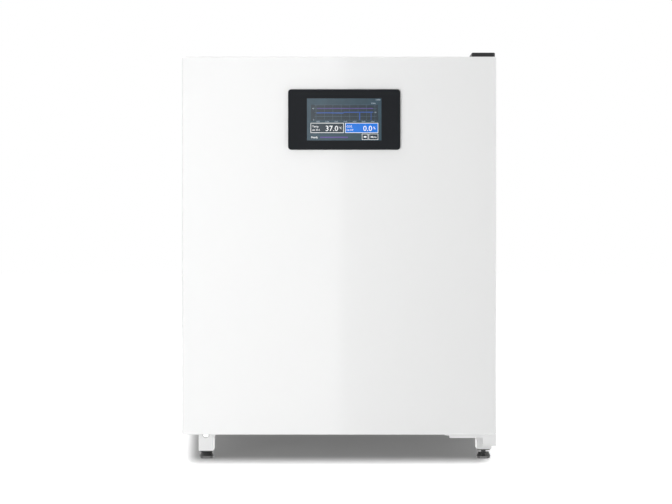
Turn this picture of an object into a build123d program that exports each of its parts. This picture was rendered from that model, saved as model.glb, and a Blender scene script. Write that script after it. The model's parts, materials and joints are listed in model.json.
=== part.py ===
"""Carbon dioxide incubator: a cabinet on four levelling feet with an insulated front door,
an inner glass door, a stainless chamber with sliding shelves, and a service box at the back.

Millimetres. The origin is on the floor, under the middle of the whole outline.
+Z is up, and the door faces -Y.
"""

import os
from math import pi

from build123d import *

# Gaps used everywhere: between pieces that move apart, and round a turning pin
fit_gap = 0.3
pin_play = 0.05

# Small edges used in many places
edge_break = 1
edge_round = 2
hex_sides = 6

# Chamber, measured inside
chamber_width = 500
chamber_height = 620
chamber_depth = 490
chamber_corner = 25
chamber_back_corner = 12
liner_wall = 1.5
foil = 1

# Walls, from the chamber's inner faces to the outside of the casing
side_wall = 63
floor_wall = 79
roof_wall = 86
rear_wall = 58.5
sheet = 1.5
casing_corner = 6
casing_lip = 14
pan_flange = 20
body_lift = 58

# Front frame and the recess for the glass door
recess_depth = 28
recess_margin = 35
recess_corner = 14
seat_margin = 15
frame_face = 3
frame_wall = 2

# Front door
door_thickness = 55
door_gap = 10
grip_overhang = 24
door_bottom_lift = 1.5
door_top_drop = 1
door_edge_radius = 4
door_rim_radius = 2
door_lip = 14
door_liner_wall = 2
dish_depth = 6
dish_margin = 6
dish_corner = 20
gasket_width = 14
gasket_inset = 12
gasket_corner = 12
gasket_bevel = 3

# Hinges of the front door
hinge_inset = 16
hinge_pin_radius = 5
hinge_pin_reach = 18
hinge_plate_width = 40
hinge_plate_thickness = 4
hinge_plate_hold = 62
hinge_plate_nose = 14
bush_wall = 4
bush_flange = 3
bush_length = 24
washer_radius = 9
washer_height = 1.2
bracket_plate = 3
bracket_flange = 2
bracket_reach_left = 105
bracket_reach_front = 40
bracket_hold = 60
bracket_lip = 8
bracket_apron_width = 25
bracket_apron_height = 25
bracket_side_height = 34
bracket_corner = 10
cap_width = 48.6
cap_height = 10
cap_wall = 2
cap_corner = 5
cap_rim = 1.5
cap_spare = 1
screw_radius = 4.5
screw_height = 2.4
hinge_screw_reach = (18, 42)

# Control panel in the door
panel_width = 232
panel_height = 125
panel_corner = 6.5
panel_proud = 7
panel_shift = -1.5
panel_drop = 130.5
panel_rim = 1.5
screen_width = 154
screen_height = 87
screen_setback = 0.4
screen_corner = 1
bezel_thickness = 3
housing_width = 206
housing_height = 104
housing_depth = 26
housing_wall = 2.5
housing_corner = 8
module_margin = 3
module_depth = 7

# Inner glass door
glass_setback = 14
glass_thickness = 5
glass_overlap = 12
glass_corner = 10
glass_seal_width = 10
glass_seal_inset = 1
glass_bevel = 0.8
glass_pivot_offset = 6
knuckle_radius = 5
knuckle_pin_radius = 3
knuckle_height = 30
knuckle_ear = 10
glass_hinge_inset = 90
leaf_reach = 34
leaf_thickness = 2.5
latch_inset = 18
latch_reach = 31
latch_hub_radius = 12
latch_arm_width = 12
latch_thickness = 3.4
latch_plate = 3
latch_grip_height = 6
latch_grip_width = 5
strike_reach = 12
strike_height = 40
strike_thickness = 2.5

# Shelves, their racks and the water tray
shelf_count = 3
first_shelf = 115
shelf_headroom = 175
shelf_sheet = 1.5
shelf_setback = 41
shelf_rear_gap = 5
shelf_lip = 10
shelf_side_gap = 1
slot_length = 40
slot_width = 12
slot_pitch_x = 56
slot_pitch_y = 32
slot_margin = 14
rack_standoff = 8
rack_sheet = 1.5
rack_post_width = 18
rack_front_post = 62
rack_rear_post = 90
rack_end_gap = 40
runner_width = 12
runner_headroom = 4
runner_lead = 6
stud_radius = 4
stud_inset = 30
tray_side_gap = 35
tray_rear_gap = 60
tray_height = 34
tray_wall = 1
tray_corner = 20
tray_rim = 6
tray_setback = 60

# Air circulation
duct_side_gap = 60
duct_top_gap = 35
duct_depth = 33
duct_lift = 45
duct_corner = 8
duct_rim = 2
duct_sheet = 1.5
fan_height = 330
inlet_slots = 16
inlet_slot_length = 24
inlet_slot_width = 5
inlet_ring_radius = 26
outlet_slots = 7
outlet_slot_height = 46
outlet_slot_width = 9
outlet_pitch = 70
impeller_radius = 60
impeller_depth = 20
impeller_gap = 5
impeller_sheet = 1.5
blade_count = 11
blade_thickness = 1.6
blade_root = 34
blade_sweep = 38
blade_bow = 5
eye_radius = 32
hub_radius = 9
shaft_radius = 4
shaft_clearance = 4
shaft_seat = 20
motor_radius = 34
motor_depth = 40
motor_flange_radius = 44
motor_flange = 3

# Services through the rear wall
port_radius = 15
port_wall = 2
port_gap = 7
port_drop = 70
port_collar = 5
port_collar_radius = 20
plug_head_radius = 19
plug_head = 8
plug_hollow_radius = 10
sensor_offset = 110
sensor_height = 470
sensor_radius = 10
sensor_head_radius = 14
sensor_head = 18
sensor_reach = 15
probe_radius = 3
probe_head_radius = 6
probe_head = 9

# Service box on the back
rear_box_side = 143
rear_box_drop = 115
rear_box_depth = 55
rear_box_lift = 70
rear_box_flange = 14
rear_box_corner = 6
louvre_length = 90
louvre_height = 5
louvre_pitch = 14
louvre_rows = 10
louvre_drop = 110
louvre_offset = 75
socket_row = 60
cover_screw_inset = 7

# Electrics in the service box
board_width = 120
board_height = 170
board_thickness = 1.6
board_standoff = 6
board_inset = 85
board_drop = 145
standoff_radius = 3
chip_height = 3
sink_height = 18
fin_count = 6
fin_thickness = 1.5
supply_width = 100
supply_height = 80
supply_depth = 36
supply_inset = 75
supply_rise = 76
supply_slots = 6
supply_slot_length = 56
inlet_inset = 110
inlet_face_width = 34
inlet_face_height = 28
inlet_face = 2
inlet_cavity_width = 25
inlet_cavity_height = 17
inlet_cavity_depth = 16
inlet_wall = 2
inlet_pin_pitch = 7
inlet_pin_width = 2
inlet_pin_height = 4
inlet_pin_step = 2
inlet_corner = 3
inlet_key = 4
switch_inset = 60
switch_width = 22
switch_height = 30
switch_wall = 2
switch_depth = 18
rocker_reach = 3
rocker_taper = 3
rocker_corner = 0.5

# Gas path in the service box
gas_inset = 60
gas_line_depth = 22
hose_radius = 3.5
hose_bore = 2
hose_bend = 10
nozzle_radius = 3.5
nozzle_rise = 47
valve_width = 36
valve_height = 46
valve_rise = 10
valve_wall = 2
valve_round = 3
coil_radius = 14
filter_radius = 18.5
filter_height = 14
filter_stub = 8
filter_drop = 100
fitting_reach = 14
fitting_radius = 4
fitting_collar_radius = 9
fitting_collar = 4
fitting_tail = 22

# Legs and levelling feet
leg_width = 30.6
leg_depth = 50
leg_wall = 2.5
left_leg_inset = 4.4
right_leg_inset = 2.9
leg_setback = 8
leg_bottom = 17.8
right_leg_bottom = 21.3
leg_flare = 9
leg_flare_height = 15
lug_width = 11.4
lug_gap = 1.5
lug_height = 11.6
foot_radius = 15.3
foot_sole_radius = 13.6
foot_belly = 5
foot_top_radius = 11.4
foot_height = 14
foot_stem_radius = 5
foot_stem_hold = 14
foot_ring_radius = 14.8
foot_ring = 3.3

# Places worked out from the sizes above
body_width = chamber_width + 2 * side_wall
body_height = floor_wall + chamber_height + roof_wall
body_depth = recess_depth + chamber_depth + rear_wall
door_width = body_width + grip_overhang
door_height = body_height - door_bottom_lift - door_top_drop
overall_width = door_width + bracket_flange
overall_depth = (panel_proud + door_thickness + door_gap + body_depth
                 + rear_box_depth + fitting_reach)

door_left = -overall_width / 2
door_right = door_left + door_width
body_right = door_right
body_left = body_right - body_width
mid_x = (body_left + body_right) / 2

panel_front = -overall_depth / 2
door_front = panel_front + panel_proud
door_back = door_front + door_thickness
body_front = door_back + door_gap
casing_front = body_front + frame_face
glass_front = body_front + glass_setback
glass_back = glass_front + glass_thickness
chamber_front = body_front + recess_depth
flange_back = chamber_front + liner_wall
chamber_back = chamber_front + chamber_depth
body_back = body_front + body_depth
rear_sheet_back = body_back - sheet
rear_sheet_front = rear_sheet_back - sheet
box_back = body_back + rear_box_depth

body_bottom = body_lift
chamber_bottom = body_bottom + floor_wall
chamber_top = chamber_bottom + chamber_height
body_top = body_bottom + body_height
door_bottom = body_bottom + door_bottom_lift
door_top = body_top - door_top_drop

body_centre = (mid_x, (body_bottom + body_top) / 2)
door_centre = ((door_left + door_right) / 2, (door_bottom + door_top) / 2)
chamber_centre = (mid_x, (chamber_bottom + chamber_top) / 2)
recess_size = (chamber_width + 2 * recess_margin, chamber_height + 2 * recess_margin)
tube_size = (recess_size[0] + 2 * frame_wall, recess_size[1] + 2 * frame_wall)
pivot_x = door_right - hinge_inset
pivot_y = door_back - hinge_inset
glass_size = (chamber_width + 2 * glass_overlap, chamber_height + 2 * glass_overlap)
glass_pivot_x = mid_x + glass_size[0] / 2 + glass_pivot_offset
glass_pivot_y = (glass_front + glass_back) / 2
fan_z = chamber_bottom + fan_height
duct_width = chamber_width - 2 * duct_side_gap
duct_height = chamber_height - duct_lift - duct_top_gap
duct_front = chamber_back - duct_depth
port_x = mid_x - duct_width / 2 - port_gap - port_wall - port_radius
port_z = chamber_top - port_drop
sensor_z = chamber_bottom + sensor_height
sensor_x = mid_x + sensor_offset
probe_x = mid_x - sensor_offset
valve_centre = fan_z + valve_rise
valve_ends = (valve_centre - valve_height / 2, valve_centre + valve_height / 2)
nozzle_z = valve_ends[1] + nozzle_rise
rear_box_width = body_width - 2 * rear_box_side
rear_box_height = body_height - rear_box_lift - rear_box_drop
rear_box_bottom = body_bottom + rear_box_lift
rear_box_top = rear_box_bottom + rear_box_height
rear_box_left = mid_x - rear_box_width / 2
rear_box_right = mid_x + rear_box_width / 2
rear_box_centre = (mid_x, (rear_box_bottom + rear_box_top) / 2)
socket_z = rear_box_bottom + socket_row
gas_x = rear_box_left + gas_inset
gas_y = rear_sheet_back + gas_line_depth

os.makedirs("parts", exist_ok=True)


def upright(y):
    """A sketch plane facing -Y: sketch x is X, sketch y is Z, and a negative extrude goes back."""
    return Plane(origin=(0, y, 0), x_dir=(1, 0, 0), z_dir=(0, -1, 0))


def block(x, y, z, mode=Mode.ADD):
    """A box between the low and high value of each pair."""
    with Locations(((x[0] + x[1]) / 2, (y[0] + y[1]) / 2, (z[0] + z[1]) / 2)):
        Box(x[1] - x[0], y[1] - y[0], z[1] - z[0], mode=mode)


def rod(x, z, radius, y, mode=Mode.ADD, bore=0, sides=0):
    """A bar along Y between the two values of y: round or with that many sides, and with a
    bore where one is asked for."""
    with BuildSketch(upright(y[0])) as outline:
        with Locations((x, z)):
            if sides:
                RegularPolygon(radius, sides)
            else:
                Circle(radius)
            if bore:
                Circle(bore, mode=Mode.SUBTRACT)
    extrude(outline.sketch, amount=-(y[1] - y[0]), mode=mode)


def post(x, y, radius, z, mode=Mode.ADD, bore=0):
    """A round bar along Z between the two values of z, with a bore where one is asked for."""
    with BuildSketch(Plane.XY.offset(z[0])) as outline:
        with Locations((x, y)):
            Circle(radius)
            if bore:
                Circle(bore, mode=Mode.SUBTRACT)
    extrude(outline.sketch, amount=z[1] - z[0], mode=mode)


def crossbar(y, z, radius, x):
    """A six-sided bar along X between the two values of x."""
    with BuildSketch(Plane.YZ.offset(x[0])) as outline:
        with Locations((y, z)):
            RegularPolygon(radius, hex_sides)
    extrude(outline.sketch, amount=x[1] - x[0])


def slab(centre, size, corner, y, mode=Mode.ADD):
    """An upright plate with rounded corners: centre and size are (x, z), y its two faces."""
    with BuildSketch(upright(y[0])) as outline:
        with Locations(centre):
            RectangleRounded(size[0], size[1], corner)
    extrude(outline.sketch, amount=-(y[1] - y[0]), mode=mode)


def ring_plate(centres, outer, outer_corner, inner, inner_corner, y):
    """An upright frame: a rounded plate with a rounded window, each with its own centre."""
    with BuildSketch(upright(y[0])) as outline:
        with Locations(centres[0]):
            RectangleRounded(outer[0], outer[1], outer_corner)
        with Locations(centres[1]):
            RectangleRounded(inner[0], inner[1], inner_corner, mode=Mode.SUBTRACT)
    extrude(outline.sketch, amount=-(y[1] - y[0]))


def grown(size, margin):
    """A size with the margin added on every side."""
    return (size[0] + 2 * margin, size[1] + 2 * margin)


def from_wall(side, near, far):
    """The X range between two distances inward from the chamber's wall on that side."""
    wall = mid_x + side * chamber_width / 2
    return tuple(sorted((wall - side * near, wall - side * far)))


def on_ring(radius, angle):
    """A point of a sketch, by its distance and direction from the middle."""
    return Vector(radius, 0).rotate(Axis.Z, angle)


def hose(points, bend):
    """A length of hose along a line of points, with its bends rounded."""
    with BuildLine() as path:
        if len(points) > 2:
            FilletPolyline(*points, radius=bend)
        else:
            Line(*points)
    with BuildSketch(Plane(origin=path.line @ 0, z_dir=path.line % 0)) as section:
        Circle(hose_radius)
        Circle(hose_bore, mode=Mode.SUBTRACT)
    sweep(section.sketch, path=path.line)


def keep(piece, name):
    """Labels a finished piece and writes it as parts/name.step."""
    piece.part.label = name
    export_step(piece.part, f"parts/{name}.step")


# Outer casing: one bent sheet for both sides and the roof, with lips round the front and back
with BuildPart() as outer_casing:
    block((body_left, body_right), (casing_front, body_back), (body_bottom, body_top))
    fillet(outer_casing.edges().filter_by(Axis.Y).group_by(Axis.Z)[-1], casing_corner)
    casing_faces = outer_casing.faces()
    offset(amount=-sheet, openings=casing_faces.filter_by(Axis.Y) + casing_faces.sort_by(Axis.Z)[:1])
    for lip_front in (casing_front, rear_sheet_back):
        with BuildSketch(upright(lip_front)):
            with Locations((mid_x, body_top - sheet)):
                Rectangle(body_width - 2 * sheet, body_height - sheet, align=(Align.CENTER, Align.MAX))
            with Locations((mid_x, body_top - sheet - casing_lip)):
                Rectangle(body_width - 2 * (sheet + casing_lip), body_height,
                          align=(Align.CENTER, Align.MAX), mode=Mode.SUBTRACT)
        extrude(amount=-sheet)
keep(outer_casing, "outer_casing")

# Base pan: a folded tray that closes the casing from below and carries the legs
with BuildPart() as base_pan:
    block((body_left + sheet, body_right - sheet), (casing_front + sheet, rear_sheet_front),
          (body_bottom, body_bottom + pan_flange))
    offset(amount=-sheet, openings=base_pan.faces().sort_by(Axis.Z)[-1])
keep(base_pan, "base_pan")

# Rear panel: the sheet between the casing's rear lips, pierced for the services
with BuildPart() as rear_panel:
    block((body_left + sheet, body_right - sheet), (rear_sheet_front, rear_sheet_back),
          (body_bottom, body_top - sheet))
    panel_top_edges = rear_panel.edges().filter_by(Axis.Y).group_by(Axis.Z)[-1]
    fillet(panel_top_edges, casing_corner - sheet)
    service_bores = (
        (mid_x, fan_z, shaft_radius + shaft_clearance),
        (port_x, port_z, port_radius + port_wall),
        (sensor_x, sensor_z, sensor_radius),
        (probe_x, sensor_z, probe_radius),
        (gas_x, nozzle_z, nozzle_radius),
    )
    for bore_x, bore_z, bore_radius in service_bores:
        rod(bore_x, bore_z, bore_radius, (rear_sheet_front, rear_sheet_back), Mode.SUBTRACT)
keep(rear_panel, "rear_panel")

# Front frame: the sealing face round the opening, and the recess that holds the glass door
seat_back = flange_back + frame_wall
seat_window = grown((chamber_width, chamber_height), seat_margin)
with BuildPart() as front_frame:
    ring_plate((body_centre, chamber_centre), (body_width, body_height), casing_corner,
               recess_size, recess_corner, (body_front, casing_front))
    ring_plate((chamber_centre, chamber_centre), tube_size, recess_corner + frame_wall,
               recess_size, recess_corner, (casing_front, seat_back))
    ring_plate((chamber_centre, chamber_centre), tube_size, recess_corner + frame_wall,
               seat_window, chamber_corner, (flange_back, seat_back))
keep(front_frame, "front_frame")

# Chamber liner: the deep-drawn stainless box with its mounting flange
liner_size = grown((chamber_width, chamber_height), liner_wall)
with BuildPart() as chamber_liner:
    slab(chamber_centre, liner_size, chamber_corner + liner_wall,
         (chamber_front, chamber_back + liner_wall))
    fillet(chamber_liner.edges().group_by(Axis.Y)[-1], chamber_back_corner + liner_wall)
    offset(amount=-liner_wall, openings=chamber_liner.faces().sort_by(Axis.Y)[0])
    ring_plate((chamber_centre, chamber_centre), grown(recess_size, -fit_gap), recess_corner,
               (chamber_width, chamber_height), chamber_corner, (chamber_front, flange_back))
    for bore_x, bore_z, bore_radius in service_bores:
        rod(bore_x, bore_z, bore_radius, (chamber_back, chamber_back + liner_wall), Mode.SUBTRACT)
keep(chamber_liner, "chamber_liner")

# Heater foil: a jacket bonded round the liner
with BuildPart() as heater_foil:
    ring_plate((chamber_centre, chamber_centre), grown(liner_size, foil),
               chamber_corner + liner_wall + foil, liner_size, chamber_corner + liner_wall,
               (seat_back, chamber_back - chamber_back_corner))
keep(heater_foil, "heater_foil")

# Insulation: one foamed block between the liner and the casing
foam_front = casing_front + 2 * sheet
foam_back = rear_sheet_front - sheet
with BuildPart() as insulation:
    block((body_left + 2 * sheet, body_right - 2 * sheet), (foam_front, foam_back),
          (body_bottom + sheet, body_top - 2 * sheet))
    slab(chamber_centre, tube_size, recess_corner + frame_wall, (foam_front, seat_back), Mode.SUBTRACT)
    slab(chamber_centre, grown(liner_size, foil), chamber_corner + liner_wall + foil,
         (seat_back, chamber_back + liner_wall), Mode.SUBTRACT)
    for bore_x, bore_z, bore_radius in service_bores:
        rod(bore_x, bore_z, bore_radius, (chamber_back, foam_back), Mode.SUBTRACT)
keep(insulation, "insulation")

# Glass gasket: the soft ring on the liner flange that the glass door closes against
seal_size = grown(glass_size, -glass_seal_inset)
with BuildPart() as glass_gasket:
    ring_plate((chamber_centre, chamber_centre), seal_size, glass_corner,
               grown(seal_size, -glass_seal_width), glass_corner,
               (glass_back + fit_gap, chamber_front))
    chamfer(glass_gasket.edges().group_by(Axis.Y)[0], glass_seal_width / 4)
keep(glass_gasket, "glass_gasket")

# Shelf racks: two posts on each side, and the channels that the shelves slide in
shelf_front = chamber_front + shelf_setback
shelf_back = duct_front - shelf_rear_gap
shelf_pitch = (chamber_height - first_shelf - shelf_headroom) / (shelf_count - 1)
shelf_levels = [chamber_bottom + first_shelf + step * shelf_pitch for step in range(shelf_count)]
channel_height = shelf_sheet + fit_gap + runner_headroom
post_fronts = (chamber_front + rack_front_post, chamber_back - rack_rear_post)
post_depth = rack_standoff + rack_sheet
with BuildPart() as shelf_racks:
    for side in (-1, 1):
        for post_front in post_fronts:
            block(from_wall(side, rack_standoff, post_depth), (post_front, post_front + rack_post_width),
                  (chamber_bottom + rack_end_gap, chamber_top - rack_end_gap))
        for level in shelf_levels:
            floor = level - fit_gap - rack_sheet
            ceiling = level - fit_gap + channel_height
            run = (shelf_front - runner_lead, shelf_back)
            block(from_wall(side, post_depth, post_depth + rack_sheet), run, (floor, ceiling + rack_sheet))
            for flange in (floor, ceiling):
                block(from_wall(side, post_depth, post_depth + rack_sheet + runner_width), run,
                      (flange, flange + rack_sheet))
keep(shelf_racks, "shelf_racks")

# Rack studs: short spacers that hold the racks off the chamber walls
with BuildPart() as rack_studs:
    for side in (-1, 1):
        for post_front in post_fronts:
            for stud_z in (chamber_bottom + rack_end_gap + stud_inset,
                           chamber_top - rack_end_gap - stud_inset):
                crossbar(post_front + rack_post_width / 2, stud_z, stud_radius,
                         from_wall(side, 0, rack_standoff))
keep(rack_studs, "rack_studs")

# Air duct cover: the sheet box in front of the fan, with a round inlet and side outlets
duct_bottom = chamber_bottom + duct_lift
duct_centre = (mid_x, duct_bottom + duct_height / 2)
with BuildPart() as air_duct_cover:
    slab(duct_centre, (duct_width, duct_height), duct_corner, (duct_front, chamber_back))
    fillet(air_duct_cover.edges().group_by(Axis.Y)[0], duct_rim)
    slab(duct_centre, grown((duct_width, duct_height), -duct_sheet), duct_corner - duct_sheet,
         (duct_front + duct_sheet, chamber_back), Mode.SUBTRACT)
    with BuildSketch(upright(duct_front)):
        with Locations((mid_x, fan_z)):
            with PolarLocations(inlet_ring_radius, inlet_slots):
                Rectangle(inlet_slot_length, inlet_slot_width)
    extrude(amount=-duct_sheet, mode=Mode.SUBTRACT)
    with BuildSketch(Plane.YZ.offset(mid_x - duct_width / 2)):
        with Locations((chamber_back - duct_depth / 2, duct_centre[1])):
            with GridLocations(0, outlet_pitch, 1, outlet_slots):
                Rectangle(outlet_slot_width, outlet_slot_height)
    extrude(amount=duct_width, mode=Mode.SUBTRACT)
keep(air_duct_cover, "air_duct_cover")

# Impeller: backward-curved blades between a back plate and an inlet ring
impeller_front = duct_front + duct_sheet + impeller_gap
impeller_back = impeller_front + impeller_depth
blade_angle = 360 * blade_thickness / (2 * pi)
with BuildSketch() as blade:
    with BuildLine():
        blade_face = SagittaArc(on_ring(blade_root, 0),
                                on_ring(impeller_radius - 1, -blade_sweep), blade_bow)
        blade_tip = on_ring(impeller_radius - 1, -blade_sweep + blade_angle / impeller_radius)
        blade_rear = SagittaArc(blade_tip, on_ring(blade_root, blade_angle / blade_root), -blade_bow)
        Line(blade_face @ 1, blade_rear @ 0)
        Line(blade_rear @ 1, blade_face @ 0)
    make_face()
with BuildPart() as impeller:
    with BuildSketch(upright(impeller_front)):
        with Locations((mid_x, fan_z)):
            with PolarLocations(0, blade_count):
                add(blade.sketch)
    extrude(amount=-impeller_depth)
    rod(mid_x, fan_z, impeller_radius, (impeller_front, impeller_front + impeller_sheet), bore=eye_radius)
    rod(mid_x, fan_z, impeller_radius, (impeller_back - impeller_sheet, impeller_back), bore=shaft_radius)
    rod(mid_x, fan_z, hub_radius, (impeller_front + impeller_gap, impeller_back), bore=shaft_radius)
keep(impeller, "impeller")

# Fan shaft: from the impeller's hub through the rear wall into the motor
with BuildPart() as fan_shaft:
    rod(mid_x, fan_z, shaft_radius, (impeller_front + impeller_gap, rear_sheet_back + shaft_seat))
    chamfer(fan_shaft.edges().group_by(Axis.Y)[0], edge_break)
keep(fan_shaft, "fan_shaft")

# Fan motor: flange, can and end bell on the rear panel
with BuildPart() as fan_motor:
    rod(mid_x, fan_z, motor_flange_radius, (rear_sheet_back, rear_sheet_back + motor_flange))
    rod(mid_x, fan_z, motor_radius, (rear_sheet_back + motor_flange, rear_sheet_back + motor_depth))
    chamfer(fan_motor.edges().group_by(Axis.Y)[-1], motor_flange)
    rod(mid_x, fan_z, shaft_radius + pin_play,
        (rear_sheet_back, rear_sheet_back + shaft_seat + edge_break), Mode.SUBTRACT)
keep(fan_motor, "fan_motor")

# Sensors through the rear wall, reaching into the air duct
with BuildPart() as co2_sensor:
    rod(sensor_x, sensor_z, sensor_radius, (chamber_back - sensor_reach, rear_sheet_back))
    rod(sensor_x, sensor_z, sensor_head_radius, (rear_sheet_back, rear_sheet_back + sensor_head),
        sides=hex_sides)
    chamfer(co2_sensor.edges().group_by(Axis.Y)[0], edge_round)
keep(co2_sensor, "co2_sensor")
with BuildPart() as temperature_sensor:
    rod(probe_x, sensor_z, probe_radius, (chamber_back - sensor_reach, rear_sheet_back))
    rod(probe_x, sensor_z, probe_head_radius, (rear_sheet_back, rear_sheet_back + probe_head),
        sides=hex_sides)
keep(temperature_sensor, "temperature_sensor")

# Access port: a sleeve through the rear wall and the soft plug that closes it
with BuildPart() as port_sleeve:
    rod(port_x, port_z, port_radius + port_wall, (chamber_back, body_back), bore=port_radius)
    rod(port_x, port_z, port_collar_radius, (body_back, body_back + port_collar), bore=port_radius)
    chamfer(port_sleeve.edges().group_by(Axis.Y)[-1].sort_by(SortBy.LENGTH)[-1], edge_break)
keep(port_sleeve, "port_sleeve")
plug_head_front = body_back + port_collar + fit_gap
with BuildPart() as port_plug:
    rod(port_x, port_z, port_radius - fit_gap, (chamber_back, plug_head_front))
    rod(port_x, port_z, plug_head_radius, (plug_head_front, plug_head_front + plug_head))
    chamfer(port_plug.edges().group_by(Axis.Y)[-1], edge_round)
    rod(port_x, port_z, plug_hollow_radius, (chamber_back, chamber_back + sensor_reach), Mode.SUBTRACT)
    chamfer(port_plug.edges().group_by(Axis.Y)[0], edge_break)
keep(port_plug, "port_plug")

# Rear cover: the louvred service box over the motor, the gas path and the electrics
inlet_centre = (rear_box_right - inlet_inset, socket_z)
switch_centre = (rear_box_right - switch_inset, socket_z)
with BuildPart() as rear_cover:
    slab(rear_box_centre, (rear_box_width, rear_box_height), rear_box_corner, (rear_sheet_back, box_back))
    fillet(rear_cover.edges().group_by(Axis.Y)[-1], rear_box_corner / 2)
    offset(amount=-sheet, openings=rear_cover.faces().sort_by(Axis.Y)[0])
    ring_plate((rear_box_centre, rear_box_centre),
               grown((rear_box_width, rear_box_height), rear_box_flange), rear_box_corner,
               grown((rear_box_width, rear_box_height), -sheet), rear_box_corner - sheet,
               (rear_sheet_back, body_back))
    with BuildSketch(upright(box_back - sheet)):
        with Locations((mid_x, rear_box_top - louvre_drop)):
            with GridLocations(2 * louvre_offset, louvre_pitch, 2, louvre_rows):
                Rectangle(louvre_length, louvre_height)
        with Locations(inlet_centre):
            Rectangle(inlet_cavity_width + 2 * inlet_wall, inlet_cavity_height + 2 * inlet_wall)
        with Locations(switch_centre):
            Rectangle(switch_width, switch_height)
        with Locations((gas_x, socket_z)):
            Circle(fitting_radius)
    extrude(amount=-sheet, mode=Mode.SUBTRACT)
keep(rear_cover, "rear_cover")

# Cover screws round the flange, with six-sided heads
screw_grid = grown((rear_box_width, rear_box_height), rear_box_flange - cover_screw_inset)
screw_spots = [(mid_x + sx * screw_grid[0] / 2, rear_box_centre[1] + sz * screw_grid[1] / 2)
               for sx in (-1, 1) for sz in (-1, 0, 1)]
with BuildPart() as rear_cover_screws:
    for spot_x, spot_z in screw_spots:
        rod(spot_x, spot_z, screw_radius, (body_back, body_back + screw_height), sides=hex_sides)
keep(rear_cover_screws, "rear_cover_screws")

# Control board on four standoffs, with its chips and a finned heat sink
board_front = rear_sheet_back + board_standoff
board_back = board_front + board_thickness
board_centre = (rear_box_right - board_inset, fan_z - board_drop)
with BuildPart() as control_board:
    block((board_centre[0] - board_width / 2, board_centre[0] + board_width / 2),
          (board_front, board_back),
          (board_centre[1] - board_height / 2, board_centre[1] + board_height / 2))
    for sx in (-1, 1):
        for sz in (-1, 1):
            post_x = board_centre[0] + sx * (board_width / 2 - 2 * standoff_radius)
            post_z = board_centre[1] + sz * (board_height / 2 - 2 * standoff_radius)
            rod(post_x, post_z, standoff_radius, (rear_sheet_back, board_front))
    with BuildSketch(upright(board_back)):
        with Locations(board_centre):
            with GridLocations(board_width / 3, board_height / 4, 2, 3):
                Rectangle(board_width / 6, board_height / 9)
    extrude(amount=-chip_height)
    with BuildSketch(upright(board_back)):
        with Locations((board_centre[0], board_centre[1] - board_height / 2.6)):
            with GridLocations(board_width / 10, 0, fin_count, 1):
                Rectangle(fin_thickness, board_height / 8)
            Rectangle(board_width / 2 + fin_thickness, fin_thickness)
    extrude(amount=-sink_height)
keep(control_board, "control_board")

# Power supply in its slotted cage
supply_centre = (rear_box_right - supply_inset, fan_z + supply_rise)
supply_span = (supply_centre[1] - supply_height / 2, supply_centre[1] + supply_height / 2)
with BuildPart() as power_supply:
    block((supply_centre[0] - supply_width / 2, supply_centre[0] + supply_width / 2),
          (rear_sheet_back, rear_sheet_back + supply_depth), supply_span)
    offset(amount=-sheet, openings=power_supply.faces().sort_by(Axis.Y)[0])
    with BuildSketch(upright(rear_sheet_back + supply_depth - sheet)):
        with Locations(supply_centre):
            with GridLocations(supply_width / 8, 0, supply_slots, 1):
                Rectangle(louvre_height, supply_slot_length)
    extrude(amount=-sheet, mode=Mode.SUBTRACT)
keep(power_supply, "power_supply")

# Gas valve: body and coil, with a stub at each end for the hose
with BuildPart() as gas_valve:
    block((gas_x - valve_width / 2, gas_x + valve_width / 2),
          (rear_sheet_back, gas_y + hose_radius + valve_wall),
          (valve_ends[0] + filter_stub, valve_ends[1] - filter_stub))
    fillet(gas_valve.edges().filter_by(Axis.Y), valve_round)
    rod(gas_x, valve_centre, coil_radius, (gas_y, gas_y + coil_radius))
    post(gas_x, gas_y, hose_bore, valve_ends)
keep(gas_valve, "gas_valve")

# Gas filter: a disc housing in the line, held by its bracket
filter_centre = fan_z - filter_drop
filter_reach = filter_height / 2 + filter_stub
filter_ends = (filter_centre - filter_reach, filter_centre + filter_reach)
with BuildPart() as gas_filter:
    post(gas_x, gas_y, filter_radius,
         (filter_centre - filter_height / 2, filter_centre + filter_height / 2))
    chamfer(gas_filter.edges(), valve_round)
    post(gas_x, gas_y, hose_bore, filter_ends)
    block((gas_x - filter_height / 2, gas_x + filter_height / 2), (rear_sheet_back, gas_y),
          (filter_centre - filter_height / 4, filter_centre + filter_height / 4))
keep(gas_filter, "gas_filter")

# Gas hose: inlet to filter, filter to valve, and valve to the nozzle in the duct
fitting_inner = box_back - fitting_tail
with BuildPart() as gas_hose:
    hose([(gas_x, fitting_inner + filter_stub, socket_z), (gas_x, gas_y, socket_z),
          (gas_x, gas_y, filter_ends[0] + filter_stub)], hose_bend)
    hose([(gas_x, gas_y, filter_ends[1] - filter_stub), (gas_x, gas_y, valve_ends[0] + filter_stub)],
         hose_bend)
    hose([(gas_x, gas_y, valve_ends[1] - filter_stub), (gas_x, gas_y, nozzle_z),
          (gas_x, chamber_back - sensor_reach, nozzle_z)], hose_bend)
keep(gas_hose, "gas_hose")

# Gas inlet fitting: a barbed stub through the cover, with a hexagonal collar
with BuildPart() as gas_inlet_fitting:
    with BuildSketch(upright(box_back)):
        with Locations((gas_x, socket_z)):
            RegularPolygon(fitting_collar_radius, 6)
    extrude(amount=-fitting_collar)
    rod(gas_x, socket_z, fitting_radius, (box_back - sheet - fitting_collar, box_back + fitting_reach))
    chamfer(gas_inlet_fitting.edges().group_by(Axis.Y)[-1], edge_break)
    rod(gas_x, socket_z, hose_bore, (fitting_inner, box_back - sheet - fitting_collar))
keep(gas_inlet_fitting, "gas_inlet_fitting")

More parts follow.
